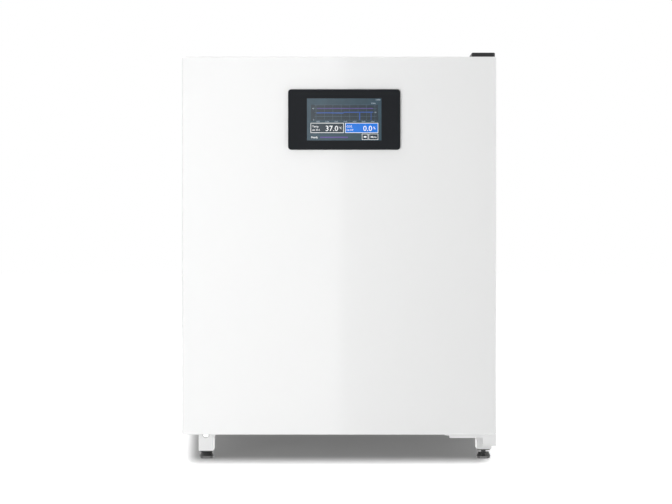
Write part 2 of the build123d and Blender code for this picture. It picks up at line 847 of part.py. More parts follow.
# Power inlet: a panel socket with its three pins
socket_size = (inlet_cavity_width, inlet_cavity_height)
socket_floor = box_back - inlet_cavity_depth
with BuildPart() as power_inlet:
    slab(inlet_centre, (inlet_face_width, inlet_face_height), inlet_corner, (box_back, box_back + inlet_face))
    slab(inlet_centre, grown(socket_size, inlet_wall), edge_break, (socket_floor - inlet_wall, box_back))
    with BuildSketch(upright(socket_floor)):
        with Locations(inlet_centre):
            socket_mouth = Rectangle(*socket_size)
            chamfer(socket_mouth.vertices().group_by(Axis.Y)[-1], inlet_key)
    extrude(amount=-(inlet_cavity_depth + inlet_face), mode=Mode.SUBTRACT)
    with BuildSketch(upright(socket_floor)):
        for pin_column, pin_side in ((-1, -1), (0, 1), (1, -1)):
            with Locations((inlet_centre[0] + pin_column * inlet_pin_pitch,
                            inlet_centre[1] + pin_side * inlet_pin_step)):
                Rectangle(inlet_pin_width, inlet_pin_height)
    extrude(amount=-(inlet_cavity_depth - inlet_wall))
keep(power_inlet, "power_inlet")

# Power switch: the frame in the cover and the rocker in it
rocker_size = (switch_width - 2 * switch_wall, switch_height - 2 * switch_wall)
rocker_gap_size = grown(rocker_size, -fit_gap)
rocker_pivot_y = box_back - switch_depth / 2
with BuildPart() as switch_frame:
    slab(switch_centre, grown((switch_width, switch_height), switch_wall), edge_round,
         (box_back, box_back + switch_wall))
    slab(switch_centre, (switch_width, switch_height), edge_break, (box_back - switch_depth, box_back))
    slab(switch_centre, rocker_size, rocker_corner, (box_back - switch_depth + switch_wall, box_back + switch_wall),
         Mode.SUBTRACT)
keep(switch_frame, "switch_frame")
rocker_shoulder = rocker_gap_size[1] / 2 - edge_break
rocker_waist = rocker_gap_size[1] / 2 - rocker_taper
with BuildPart() as power_rocker:
    with BuildSketch(Plane.YZ.offset(switch_centre[0] - rocker_gap_size[0] / 2)):
        with Locations((rocker_pivot_y, socket_z)):
            Circle(switch_depth / 3)
        with BuildLine():
            Polyline((rocker_pivot_y, socket_z - rocker_waist), (box_back, socket_z - rocker_shoulder),
                     (box_back + switch_wall + rocker_reach, socket_z - rocker_waist),
                     (box_back + switch_wall, socket_z),
                     (box_back + switch_wall + rocker_reach, socket_z + rocker_waist),
                     (box_back, socket_z + rocker_shoulder), (rocker_pivot_y, socket_z + rocker_waist),
                     close=True)
        make_face()
    extrude(amount=rocker_gap_size[0])
keep(power_rocker, "power_rocker")

# Door skin: the painted outer pan, with a lip inside its edge for the liner
inside_size = grown((door_width, door_height), -sheet)
inside_corner = door_edge_radius - sheet
panel_centre = (mid_x + panel_shift, door_top - panel_drop)
bush_radius = hinge_pin_radius + bush_wall
liner_front = door_back - door_liner_wall
with BuildPart() as door_skin:
    slab(door_centre, (door_width, door_height), door_edge_radius, (door_front, door_back))
    fillet(door_skin.edges().group_by(Axis.Y)[0], door_rim_radius)
    slab(door_centre, inside_size, inside_corner, (door_front + sheet, door_back), Mode.SUBTRACT)
    ring_plate((door_centre, door_centre), inside_size, inside_corner,
               grown(inside_size, -door_lip), door_edge_radius, (liner_front - sheet, liner_front))
    slab(panel_centre, (housing_width, housing_height), housing_corner,
         (door_front, door_front + sheet), Mode.SUBTRACT)
    post(pivot_x, pivot_y, bush_radius, (door_bottom, door_top), Mode.SUBTRACT)
keep(door_skin, "door_skin")

# Door liner: the inner panel, dished in the middle to clear the glass door's latch
dish_size = grown(recess_size, -dish_margin)
with BuildPart() as door_liner:
    slab(door_centre, inside_size, inside_corner, (liner_front, door_back))
    slab(chamber_centre, dish_size, dish_corner, (liner_front - dish_depth, door_back))
    slab(chamber_centre, grown(dish_size, -door_liner_wall), dish_corner - door_liner_wall,
         (door_back - dish_depth, door_back), Mode.SUBTRACT)
keep(door_liner, "door_liner")

# Door core: the foam between the skin and the liner
core_front = door_front + sheet
core_back = liner_front - sheet
bush_pocket = bush_radius + bush_flange
with BuildPart() as door_core:
    slab(door_centre, grown(inside_size, -fit_gap), inside_corner, (core_front, core_back))
    slab(chamber_centre, dish_size, dish_corner, (liner_front - dish_depth, core_back), Mode.SUBTRACT)
    slab(panel_centre, (housing_width, housing_height), housing_corner,
         (core_front, door_front + housing_depth), Mode.SUBTRACT)
    for pocket in ((door_bottom, door_bottom + sheet + bush_length),
                   (door_top - sheet - bush_length, door_top)):
        post(pivot_x, pivot_y, bush_pocket, pocket, Mode.SUBTRACT)
keep(door_core, "door_core")

# Door gasket: the bevelled magnetic ring that meets the front frame
gasket_size = grown((body_width, body_height), -gasket_inset)
with BuildPart() as door_gasket:
    ring_plate((body_centre, body_centre), gasket_size, gasket_corner,
               grown(gasket_size, -gasket_width), gasket_corner, (door_back, body_front - fit_gap))
    chamfer(door_gasket.edges().group_by(Axis.Y)[-1], gasket_bevel)
keep(door_gasket, "door_gasket")

# Hinge bushes in the door's top and bottom edges
bush_bore = hinge_pin_radius + pin_play
with BuildPart() as door_bushes:
    post(pivot_x, pivot_y, bush_radius, (door_top - bush_length, door_top), bore=bush_bore)
    post(pivot_x, pivot_y, bush_pocket, (door_top - sheet - bush_flange, door_top - sheet), bore=bush_bore)
    post(pivot_x, pivot_y, bush_radius, (door_bottom, door_bottom + bush_length), bore=bush_bore)
    post(pivot_x, pivot_y, bush_pocket, (door_bottom + sheet, door_bottom + sheet + bush_flange),
         bore=bush_bore)
keep(door_bushes, "door_bushes")

# Panel housing: the raised bezel and the tub behind it that sits in the door
tub_back = door_front + housing_depth
glass_panel_back = panel_front + bezel_thickness
screen_size = (screen_width, screen_height)
with BuildPart() as panel_housing:
    slab(panel_centre, (panel_width, panel_height), panel_corner, (panel_front, door_front))
    fillet(panel_housing.edges().group_by(Axis.Y)[0], panel_rim)
    slab(panel_centre, (housing_width, housing_height), housing_corner, (door_front, tub_back))
    slab(panel_centre, grown((housing_width, housing_height), -housing_wall),
         housing_corner - housing_wall, (glass_panel_back, tub_back - housing_wall), Mode.SUBTRACT)
    slab(panel_centre, screen_size, screen_corner, (panel_front, glass_panel_back), Mode.SUBTRACT)
keep(panel_housing, "panel_housing")

# Touch glass and the display module behind it
with BuildPart() as touch_glass:
    slab(panel_centre, screen_size, screen_corner, (panel_front + screen_setback, glass_panel_back))
keep(touch_glass, "touch_glass")
with BuildPart() as display_module:
    slab(panel_centre, grown(screen_size, module_margin), screen_corner,
         (glass_panel_back, glass_panel_back + module_depth))
    slab(panel_centre, grown(screen_size, -4 * module_margin), screen_corner,
         (glass_panel_back + module_depth, tub_back - housing_wall))
keep(display_module, "display_module")

# Upper hinge: the steel plate on the roof, its cap, and the pins of both hinges
plate_mid_x = body_right - cap_width / 2
plate_x = (plate_mid_x - hinge_plate_width / 2, plate_mid_x + hinge_plate_width / 2)
plate_y = (pivot_y - hinge_plate_nose, body_front + hinge_plate_hold)
plate_top = body_top + hinge_plate_thickness
plate_screws = [(plate_mid_x, body_front + reach) for reach in hinge_screw_reach]
with BuildPart() as upper_hinge_plate:
    block(plate_x, plate_y, (body_top, plate_top))
    fillet(upper_hinge_plate.edges().filter_by(Axis.Z), hinge_plate_nose / 2)
    post(pivot_x, pivot_y, hinge_pin_radius, (body_top, plate_top), Mode.SUBTRACT)
keep(upper_hinge_plate, "upper_hinge_plate")
cap_length = plate_y[1] - plate_y[0] + 2 * (cap_wall + cap_spare)
with BuildPart() as upper_hinge_cap:
    with BuildSketch(Plane.XY.offset(body_top)):
        with Locations((plate_mid_x, sum(plate_y) / 2)):
            RectangleRounded(cap_width, cap_length, cap_corner)
    extrude(amount=cap_height)
    fillet(upper_hinge_cap.edges().group_by(Axis.Z)[-1], cap_rim)
    with BuildSketch(Plane.XY.offset(body_top)):
        with Locations((plate_mid_x, sum(plate_y) / 2)):
            RectangleRounded(cap_width - 2 * cap_wall, cap_length - 2 * cap_wall, cap_corner - cap_wall)
    extrude(amount=cap_height - cap_wall, mode=Mode.SUBTRACT)
keep(upper_hinge_cap, "upper_hinge_cap")
with BuildPart() as hinge_pins:
    post(pivot_x, pivot_y, hinge_pin_radius, (body_top - hinge_pin_reach, plate_top))
    post(pivot_x, pivot_y, hinge_pin_radius, (body_bottom - bracket_plate, body_bottom + hinge_pin_reach))
    post(pivot_x, pivot_y, washer_radius, (body_bottom, body_bottom + washer_height))
keep(hinge_pins, "hinge_pins")

# Lower hinge bracket: a folded plate under the door, with an apron and a flange up the body's side
bracket_x = (body_right - bracket_reach_left, body_right + bracket_flange)
bracket_y = (body_front - bracket_reach_front, body_front + bracket_hold)
bracket_front = (bracket_y[0], bracket_y[0] + bracket_plate)
apron_bottom = body_bottom - bracket_apron_height
with BuildPart() as lower_hinge_bracket:
    block(bracket_x, bracket_y, (body_bottom - bracket_plate, body_bottom))
    fillet(lower_hinge_bracket.edges().filter_by(Axis.Z).group_by(Axis.X)[0], bracket_corner)
    block((bracket_x[0] + bracket_corner, bracket_x[1]), bracket_front,
          (body_bottom - bracket_lip, body_bottom))
    block((body_right - bracket_apron_width, bracket_x[1]), bracket_front, (apron_bottom, body_bottom))
    block((body_right, bracket_x[1]), bracket_y, (apron_bottom, body_bottom))
    block((body_right, bracket_x[1]), (body_front + frame_face, bracket_y[1]),
          (body_bottom, body_bottom + bracket_side_height))
    fillet(lower_hinge_bracket.edges().filter_by(Axis.X).group_by(Axis.Z)[-1], bracket_flange)
    post(pivot_x, pivot_y, hinge_pin_radius, (body_bottom - bracket_plate, body_bottom), Mode.SUBTRACT)
keep(lower_hinge_bracket, "lower_hinge_bracket")

# Hinge screws: two on the roof plate and two in the bracket's side flange
side_screws = [(body_front + reach, body_bottom + bracket_side_height / 2) for reach in hinge_screw_reach]
with BuildPart() as hinge_screws:
    for screw_x, screw_y in plate_screws:
        post(screw_x, screw_y, screw_radius, (plate_top, plate_top + screw_height))
    for screw_y, screw_z in side_screws:
        crossbar(screw_y, screw_z, screw_radius,
                 (bracket_x[1], bracket_x[1] + screw_height / 2))
keep(hinge_screws, "hinge_screws")

# Glass pane
with BuildPart() as glass_pane:
    slab(chamber_centre, glass_size, glass_corner, (glass_front, glass_back))
    chamfer(glass_pane.edges().group_by(Axis.Y)[0], glass_bevel)
keep(glass_pane, "glass_pane")

# Glass hinges: clamps on the pane with a knuckle each, and fixed ears above and below the knuckle
leaf_front = glass_front - leaf_thickness
glass_right = mid_x + glass_size[0] / 2
hinge_levels = (chamber_centre[1] - glass_size[1] / 2 + glass_hinge_inset,
                chamber_centre[1] + glass_size[1] / 2 - glass_hinge_inset)
half_knuckle = knuckle_height / 2
with BuildPart() as glass_clamps:
    for level in hinge_levels:
        span = (level - half_knuckle, level + half_knuckle)
        block((glass_right - leaf_reach, glass_pivot_x), (leaf_front, glass_front), span)
        post(glass_pivot_x, glass_pivot_y, knuckle_radius, span)
        post(glass_pivot_x, glass_pivot_y, knuckle_pin_radius + pin_play, span, Mode.SUBTRACT)
keep(glass_clamps, "glass_clamps")
recess_right = mid_x + recess_size[0] / 2
with BuildPart() as glass_hinge_blocks:
    for level in hinge_levels:
        for ear in ((level - half_knuckle - fit_gap - knuckle_ear, level - half_knuckle - fit_gap),
                    (level + half_knuckle + fit_gap, level + half_knuckle + fit_gap + knuckle_ear)):
            post(glass_pivot_x, glass_pivot_y, knuckle_radius, ear)
            block((glass_pivot_x, recess_right),
                  (glass_pivot_y - knuckle_radius, glass_pivot_y + knuckle_radius), ear)
        post(glass_pivot_x, glass_pivot_y, knuckle_pin_radius,
             (level - half_knuckle - fit_gap, level + half_knuckle + fit_gap))
keep(glass_hinge_blocks, "glass_hinge_blocks")

# Latch of the glass door: base on the pane, turning knob with its arm, and the strike on the recess
latch_x = mid_x - glass_size[0] / 2 + latch_inset
latch_z = chamber_centre[1]
latch_plate_front = glass_front - latch_plate
knob_back = latch_plate_front - fit_gap
knob_front = knob_back - latch_thickness
with BuildPart() as latch_base:
    slab((latch_x, latch_z), (2 * latch_hub_radius, 3 * latch_hub_radius), knuckle_radius,
         (latch_plate_front, glass_front))
    rod(latch_x, latch_z, knuckle_pin_radius, (knob_front, latch_plate_front))
keep(latch_base, "latch_base")
with BuildPart() as latch_knob:
    with BuildSketch(upright(knob_front)):
        with Locations((latch_x, latch_z)):
            Circle(latch_hub_radius)
        with Locations((latch_x - latch_reach / 2, latch_z)):
            SlotOverall(latch_reach + latch_arm_width, latch_arm_width)
        with Locations((latch_x, latch_z)):
            Circle(knuckle_pin_radius + pin_play, mode=Mode.SUBTRACT)
    extrude(amount=-latch_thickness)
    with BuildSketch(upright(knob_front - latch_grip_height)):
        with Locations((latch_x, latch_z)):
            SlotOverall(2 * latch_hub_radius - latch_grip_width / 2, latch_grip_width)
    extrude(amount=-latch_grip_height)
keep(latch_knob, "latch_knob")
recess_left = mid_x - recess_size[0] / 2
strike_back = knob_front - fit_gap
with BuildPart() as latch_strike:
    block((recess_left, recess_left + strike_reach), (strike_back - strike_thickness, strike_back),
          (latch_z - strike_height / 2, latch_z + strike_height / 2))
    block((recess_left, recess_left + strike_thickness), (strike_back, glass_front),
          (latch_z - strike_height / 2, latch_z + strike_height / 2))
    fillet(latch_strike.edges().filter_by(Axis.Y).group_by(Axis.X)[-1], strike_thickness * 2)
keep(latch_strike, "latch_strike")

# Shelves: a slotted sheet with lips turned down at the front and back
shelf_half = chamber_width / 2 - post_depth - rack_sheet - shelf_side_gap
slot_columns = int((2 * shelf_half - 2 * slot_margin - runner_width) / slot_pitch_x)
slot_rows = int((shelf_back - shelf_front - 2 * slot_margin) / slot_pitch_y)
for shelf_name, level in zip(("shelf_bottom", "shelf_middle", "shelf_top"), shelf_levels):
    with BuildPart() as shelf:
        block((mid_x - shelf_half, mid_x + shelf_half), (shelf_front, shelf_back),
              (level, level + shelf_sheet))
        lip_x = (mid_x - shelf_half + runner_width + shelf_side_gap,
                 mid_x + shelf_half - runner_width - shelf_side_gap)
        block(lip_x, (shelf_front, shelf_front + shelf_sheet), (level - shelf_lip, level))
        block(lip_x, (shelf_back - shelf_sheet, shelf_back), (level - shelf_lip, level))
        with BuildSketch(Plane.XY.offset(level)):
            with Locations((mid_x, (shelf_front + shelf_back) / 2)):
                with GridLocations(slot_pitch_x, slot_pitch_y, slot_columns, slot_rows):
                    RectangleRounded(slot_length, slot_width, edge_round)
        extrude(amount=shelf_sheet, mode=Mode.SUBTRACT)
    keep(shelf, shelf_name)

# Water tray on the chamber floor, with a rolled-out rim
tray_width = chamber_width - 2 * tray_side_gap
tray_depth = chamber_depth - tray_setback - tray_rear_gap
tray_front = chamber_front + tray_setback
tray_middle = (mid_x, tray_front + tray_depth / 2)
tray_bottom = chamber_bottom + fit_gap
with BuildPart() as water_tray:
    with BuildSketch(Plane.XY.offset(tray_bottom)):
        with Locations(tray_middle):
            RectangleRounded(tray_width - 2 * tray_rim, tray_depth - 2 * tray_rim, tray_corner)
    extrude(amount=tray_height)
    fillet(water_tray.edges().group_by(Axis.Z)[0], tray_rim)
    offset(amount=-tray_wall, openings=water_tray.faces().sort_by(Axis.Z)[-1])
    with BuildSketch(Plane.XY.offset(tray_bottom + tray_height - tray_wall)):
        with Locations(tray_middle):
            RectangleRounded(tray_width, tray_depth, tray_corner + tray_rim)
            RectangleRounded(tray_width - 2 * tray_rim - tray_wall, tray_depth - 2 * tray_rim - tray_wall,
                             tray_corner - tray_wall / 2, mode=Mode.SUBTRACT)
    extrude(amount=tray_wall)
keep(water_tray, "water_tray")


def leg(corner, inner, depth_way, span):
    """A channel leg: corner is its outer front (x, y), inner and depth_way are +1 or -1 along X
    and Y, and span is its bottom and top."""
    x_far = corner[0] + inner * leg_width
    x_range = sorted((corner[0], x_far))
    y_range = sorted((corner[1], corner[1] + depth_way * leg_depth))
    y_face = sorted((corner[1], corner[1] + depth_way * leg_wall))
    middle = sum(x_range) / 2
    block(x_range, y_range, span)
    hollow = sorted((corner[1] + depth_way * leg_wall, corner[1] + depth_way * leg_depth))
    block((x_range[0] + leg_wall, x_range[1] - leg_wall), hollow, (span[0] + leg_wall, span[1]),
          Mode.SUBTRACT)
    with BuildSketch(upright(y_face[0])) as gusset:
        with BuildLine():
            Polyline((x_far, span[1]), (x_far + inner * leg_flare, span[1]),
                     (x_far, span[1] - leg_flare_height), close=True)
        make_face()
    extrude(gusset.sketch, amount=-leg_wall)
    with BuildSketch(upright(y_face[0])) as notch:
        with Locations((middle, body_bottom - lug_height + lug_width / 2)):
            Circle(lug_width / 2 + lug_gap)
        with Locations((middle, body_bottom)):
            Rectangle(lug_width + 2 * lug_gap, lug_height - lug_width / 2, align=(Align.CENTER, Align.MAX))
    extrude(notch.sketch, amount=-leg_wall, mode=Mode.SUBTRACT)
    post(middle, sum(y_range) / 2, foot_stem_radius + fit_gap, (span[0], span[0] + leg_wall),
         Mode.SUBTRACT)


# Legs: three alike, and the front right one, which ends under the hinge bracket
leg_x = (body_left + left_leg_inset, body_right - right_leg_inset)
leg_y = (body_front + leg_setback, body_back - leg_setback)
with BuildPart() as legs:
    leg((leg_x[0], leg_y[0]), 1, 1, (leg_bottom, body_bottom))
    leg((leg_x[0], leg_y[1]), 1, -1, (leg_bottom, body_bottom))
    leg((leg_x[1], leg_y[1]), -1, -1, (leg_bottom, body_bottom))
keep(legs, "legs")
with BuildPart() as front_right_leg:
    leg((leg_x[1], leg_y[0]), -1, 1, (right_leg_bottom, body_bottom - bracket_plate))
keep(front_right_leg, "front_right_leg")

# Leg lugs: the round-ended tabs of the body that show in the notches of three legs
with BuildPart() as leg_lugs:
    for lug_x, lug_y in ((leg_x[0] + leg_width / 2, leg_y[0]),
                         (leg_x[0] + leg_width / 2, leg_y[1] - leg_wall),
                         (leg_x[1] - leg_width / 2, leg_y[1] - leg_wall)):
        with BuildSketch(upright(lug_y)):
            with Locations((lug_x, body_bottom - lug_height + lug_width / 2)):
                Circle(lug_width / 2)
            with Locations((lug_x, body_bottom)):
                Rectangle(lug_width, lug_height - lug_width / 2, align=(Align.CENTER, Align.MAX))
        extrude(amount=-leg_wall)
keep(leg_lugs, "leg_lugs")

# Levelling feet: sole, neck, lock ring and threaded stem, turned in one profile
foot_spots = {
    "foot_front_left": (leg_x[0] + leg_width / 2, leg_y[0] + leg_depth / 2, leg_bottom),
    "foot_front_right": (leg_x[1] - leg_width / 2, leg_y[0] + leg_depth / 2, right_leg_bottom),
    "foot_rear_left": (leg_x[0] + leg_width / 2, leg_y[1] - leg_depth / 2, leg_bottom),
    "foot_rear_right": (leg_x[1] - leg_width / 2, leg_y[1] - leg_depth / 2, leg_bottom),
}
for foot_name, (foot_x, foot_y, stem_root) in foot_spots.items():
    ring_top = stem_root - fit_gap
    with BuildPart() as foot:
        with BuildSketch(Plane(origin=(foot_x, foot_y, 0), x_dir=(1, 0, 0), z_dir=(0, -1, 0))):
            with BuildLine():
                Polyline((0, 0), (foot_sole_radius, 0), (foot_radius, foot_belly),
                         (foot_top_radius, foot_height), (0, foot_height), close=True)
            make_face()
        revolve(axis=Axis((foot_x, foot_y, 0), (0, 0, 1)))
        post(foot_x, foot_y, foot_stem_radius, (foot_height, ring_top + foot_stem_hold))
        post(foot_x, foot_y, foot_ring_radius, (ring_top - foot_ring, ring_top))
    keep(foot, foot_name)
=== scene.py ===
"""Looks of a carbon dioxide incubator: materials, the lit screen, and a plain pale studio."""

import json
import math

import bpy
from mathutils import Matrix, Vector


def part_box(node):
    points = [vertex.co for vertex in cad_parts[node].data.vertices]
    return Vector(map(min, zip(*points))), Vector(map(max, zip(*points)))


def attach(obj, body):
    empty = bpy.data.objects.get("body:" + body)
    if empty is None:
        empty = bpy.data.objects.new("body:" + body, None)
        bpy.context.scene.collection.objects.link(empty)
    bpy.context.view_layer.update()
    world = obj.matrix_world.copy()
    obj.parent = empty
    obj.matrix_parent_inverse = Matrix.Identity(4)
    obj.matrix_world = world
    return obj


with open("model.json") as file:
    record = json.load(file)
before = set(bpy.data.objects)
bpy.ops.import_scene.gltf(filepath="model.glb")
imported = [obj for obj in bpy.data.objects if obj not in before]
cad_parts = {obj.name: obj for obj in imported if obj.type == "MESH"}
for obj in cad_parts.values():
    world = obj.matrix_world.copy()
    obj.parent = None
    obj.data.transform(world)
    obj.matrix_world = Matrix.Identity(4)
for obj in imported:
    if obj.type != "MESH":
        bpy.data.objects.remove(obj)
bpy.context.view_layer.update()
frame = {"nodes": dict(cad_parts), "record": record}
nodes = frame["nodes"]
scene = bpy.context.scene
scene.view_settings.view_transform = "Standard"

# The photograph's scale at the door's front, and where its pixels lie on the object
MM_PER_PX = 2.07
PHOTO_LEFT, PHOTO_FLOOR = 182.1, 463.4
DOOR_LEFT = -0.326
DOOR_FRONT = -0.35175
IMAGE = (672, 504)


def at_x(px):
    """The world X of a photograph column, at the door's front."""
    return DOOR_LEFT + (px - PHOTO_LEFT) * MM_PER_PX / 1000


def at_z(py):
    """The world Z of a photograph row, at the door's front."""
    return (PHOTO_FLOOR - py) * MM_PER_PX / 1000


# Materials


def mapped(tree, ramp, value, limits):
    """Sets a map-range node's two ranges, links its value and gives its result."""
    for socket, number in zip(("From Min", "From Max", "To Min", "To Max"), limits):
        ramp.inputs[socket].default_value = number
    tree.links.new(value, ramp.inputs["Value"])
    return ramp.outputs["Result"]


def glowing(tree, strength):
    """A plain white emission node."""
    glow = tree.nodes.new("ShaderNodeEmission")
    glow.inputs["Color"].default_value = (1, 1, 1, 1)
    glow.inputs["Strength"].default_value = strength
    return glow


def empty_material(name):
    """A material with no nodes yet, and its node tree."""
    material = bpy.data.materials.new(name)
    material.use_nodes = True
    material.node_tree.nodes.clear()
    return material, material.node_tree


def surface(tree, shader, kind="ShaderNodeOutputMaterial"):
    """Links a shader to the output of a material or of the world."""
    out = tree.nodes.new(kind)
    tree.links.new(shader, out.inputs["Surface"])


class Shader:
    """A Principled material with helpers for procedural variation."""

    def __init__(self, name, colour, rough, metal=0.0, **sockets):
        self.material = bpy.data.materials.new(name)
        self.material.use_nodes = True
        self.tree = self.material.node_tree
        self.bsdf = self.tree.nodes["Principled BSDF"]
        self.colour = (*colour, 1.0)
        self.rough = rough
        self.bsdf.inputs["Base Color"].default_value = self.colour
        self.bsdf.inputs["Roughness"].default_value = rough
        self.bsdf.inputs["Metallic"].default_value = metal
        for socket, value in sockets.items():
            self.bsdf.inputs[socket.replace("_", " ")].default_value = value
        self.place = self.tree.nodes.new("ShaderNodeTexCoord").outputs["Object"]

    def noise(self, scale, detail=3.0, stretch=(1, 1, 1)):
        """A noise value, with the object's own coordinates stretched along an axis if asked."""
        place = self.place
        if stretch != (1, 1, 1):
            mapping = self.tree.nodes.new("ShaderNodeMapping")
            mapping.inputs["Scale"].default_value = stretch
            self.tree.links.new(place, mapping.inputs["Vector"])
            place = mapping.outputs["Vector"]
        texture = self.tree.nodes.new("ShaderNodeTexNoise")
        texture.inputs["Scale"].default_value = scale
        texture.inputs["Detail"].default_value = detail
        self.tree.links.new(place, texture.inputs["Vector"])
        return texture.outputs["Fac"]

    def spread(self, value, low, high, start=0.3, end=0.7):
        """Maps a value from start..end to low..high."""
        spread = self.tree.nodes.new("ShaderNodeMapRange")
        return mapped(self.tree, spread, value, (start, end, low, high))

    def vary_colour(self, value, amount, tint=None):
        """Mixes the base colour with a darker or tinted one by a value."""
        other = tint or [channel * (1 - amount) for channel in self.colour[:3]]
        mix = self.tree.nodes.new("ShaderNodeMix")
        mix.data_type = "RGBA"
        mix.inputs["A"].default_value = self.colour
        mix.inputs["B"].default_value = (*other, 1.0)
        self.tree.links.new(value, mix.inputs["Factor"])
        self.tree.links.new(mix.outputs["Result"], self.bsdf.inputs["Base Color"])
        return self

    def vary_rough(self, value, amount):
        """Lets the roughness wander round its value."""
        result = self.spread(value, self.rough - amount, self.rough + amount)
        self.tree.links.new(result, self.bsdf.inputs["Roughness"])
        return self

    def bump(self, value, distance, strength=1.0):
        """Raises the surface by a value."""
        bump = self.tree.nodes.new("ShaderNodeBump")
        bump.inputs["Distance"].default_value = distance
        bump.inputs["Strength"].default_value = strength
        self.tree.links.new(value, bump.inputs["Height"])
        self.tree.links.new(bump.outputs["Normal"], self.bsdf.inputs["Normal"])
        return self


def paint(name, colour, rough=0.3, dirt=0.012):
    """Glossy powder coat: a faint orange peel, and barely uneven colour and gloss."""
    shader = Shader(name, colour, rough, Coat_Weight=1.0, Coat_Roughness=0.02, Coat_IOR=1.6)
    shader.vary_colour(shader.spread(shader.noise(1.6, detail=1.0), 0.0, 1.0, 0.2, 0.8), dirt)
    shader.vary_rough(shader.noise(5.0), 0.015)
    return shader.bump(shader.noise(900.0, detail=1.0), 0.00002, 0.25).material


def brushed(name, colour, rough, stretch, grain=420.0):
    """Brushed steel: fine scratches along one direction, and faint cloudy wear."""
    shader = Shader(name, colour, rough, metal=1.0)
    lines = shader.noise(grain, detail=2.0, stretch=stretch)
    shader.vary_colour(shader.spread(shader.noise(6.0), 0.0, 1.0), 0.1)
    shader.vary_rough(lines, 0.09)
    return shader.bump(lines, 0.00002, 0.4).material


def plastic(name, colour, rough, grain=600.0, coat=0.0, variation=0.12, shine=0.5):
    """Moulded plastic: a fine grain, and slightly uneven colour and gloss."""
    shader = Shader(name, colour, rough, Coat_Weight=coat, Coat_Roughness=0.05, Specular_IOR_Level=shine)
    shader.vary_colour(shader.spread(shader.noise(20.0), 0.0, 1.0), variation)
    shader.vary_rough(shader.noise(45.0), 0.06)
    return shader.bump(shader.noise(grain, detail=1.0), 0.00003, 0.4).material


def glass(name, colour, tint, rough=0.02):
    """Clear glass with faint smears."""
    shader = Shader(name, colour, rough, Transmission_Weight=1.0, IOR=1.5)
    shader.vary_colour(shader.spread(shader.noise(8.0), 0.0, 1.0), 0.0, tint)
    shader.vary_rough(shader.noise(30.0), 0.015)
    return shader.bump(shader.noise(40.0), 0.00001, 0.2).material


def lit(name, colour, glow, strength, rough=0.12):
    """A patch of the screen: its own colour, plus the light behind it, under glossy glass."""
    shader = Shader(name, colour, rough, Emission_Color=(*glow, 1.0), Emission_Strength=strength)
    shader.vary_colour(shader.spread(shader.noise(60.0), 0.0, 1.0), 0.2)
    return shader.vary_rough(shader.noise(90.0), 0.03).material


WHITE = (0.80, 0.803, 0.802)
looks = {
    "white_paint": paint("white_paint", WHITE),
    "stainless": brushed("stainless", (0.62, 0.625, 0.63), 0.3, (1, 1, 0.04)),
    "bright_steel": brushed("bright_steel", (0.7, 0.7, 0.71), 0.22, (1, 0.1, 1)),
    "motor_metal": plastic("motor_metal", (0.09, 0.095, 0.105), 0.45, grain=300.0),
    "white_foam": plastic("white_foam", (0.8, 0.74, 0.55), 0.9, grain=180.0, variation=0.2),
    "white_plastic": plastic("white_plastic", (0.8, 0.8, 0.79), 0.38, variation=0.03),
    "grey_rubber": plastic("grey_rubber", (0.4, 0.41, 0.42), 0.62, variation=0.1),
    "soft_silicone": plastic("soft_silicone", (0.68, 0.69, 0.7), 0.5, variation=0.06),
    "black_plastic": plastic("black_plastic", (0.018, 0.018, 0.02), 0.4, shine=0.3),
    "panel_black": plastic("panel_black", (0.011, 0.0125, 0.015), 0.36, grain=900.0, shine=0.1),
    "foot_black": plastic("foot_black", (0.006, 0.006, 0.007), 0.3, coat=0.5),
    "clear_glass": glass("clear_glass", (0.93, 0.97, 0.95), (0.9, 0.95, 0.93)),
    "board_green": plastic("board_green", (0.015, 0.12, 0.045), 0.35, coat=0.4),
    "heater_amber": plastic("heater_amber", (0.5, 0.2, 0.03), 0.4),
    "brass": brushed("brass", (0.75, 0.55, 0.22), 0.3, (1, 0.1, 1)),
}
screen_black = lit("screen_black", (0.012, 0.02, 0.026), (0.012, 0.035, 0.06), 0.35)
looks["screen_module"] = screen_black
looks["screen_glass"] = lit("screen_glass", (0.022, 0.05, 0.07), (0.02, 0.06, 0.09), 0.25)

for row in frame["record"]["subparts"]:
    piece = nodes[row["node"]]
    piece.data.materials.clear()
    piece.data.materials.append(looks[row["material_slot"]])

# The screen's picture: thin printed patches just in front of the touch glass, placed by the
# photograph's pixels and stacked in layers

SCREEN_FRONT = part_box("touch_glass")[0][1]
LAYER = 0.00006
CORNER_STEPS = 4
QUARTER = 90
CAPITALS = 0.7
STROKE_GROWTH = 0.00004


def mesh_piece(name, points, faces, look):
    """A mesh on the door, made of points and faces."""
    mesh = bpy.data.meshes.new(name)
    mesh.from_pydata(points, [], faces)
    mesh.update()
    piece = bpy.data.objects.new(name, mesh)
    scene.collection.objects.link(piece)
    mesh.materials.append(look)
    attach(piece, "door")
    return piece


def patch(shapes, x0, y0, x1, y1, corner=0.0):
    """Adds a rectangle, given in photograph pixels, to a list of outlines."""
    left, right, top, bottom = at_x(x0), at_x(x1), at_z(y0), at_z(y1)
    if not corner:
        shapes.append([(left, bottom), (right, bottom), (right, top), (left, top)])
        return
    radius = corner * MM_PER_PX / 1000
    outline = []
    corners = ((right - radius, bottom + radius, -QUARTER), (right - radius, top - radius, 0),
               (left + radius, top - radius, QUARTER), (left + radius, bottom + radius, 2 * QUARTER))
    for cx, cz, start in corners:
        for step in range(CORNER_STEPS + 1):
            angle = math.radians(start + QUARTER / CORNER_STEPS * step)
            outline.append((cx + radius * math.cos(angle), cz + radius * math.sin(angle)))
    shapes.append(outline)


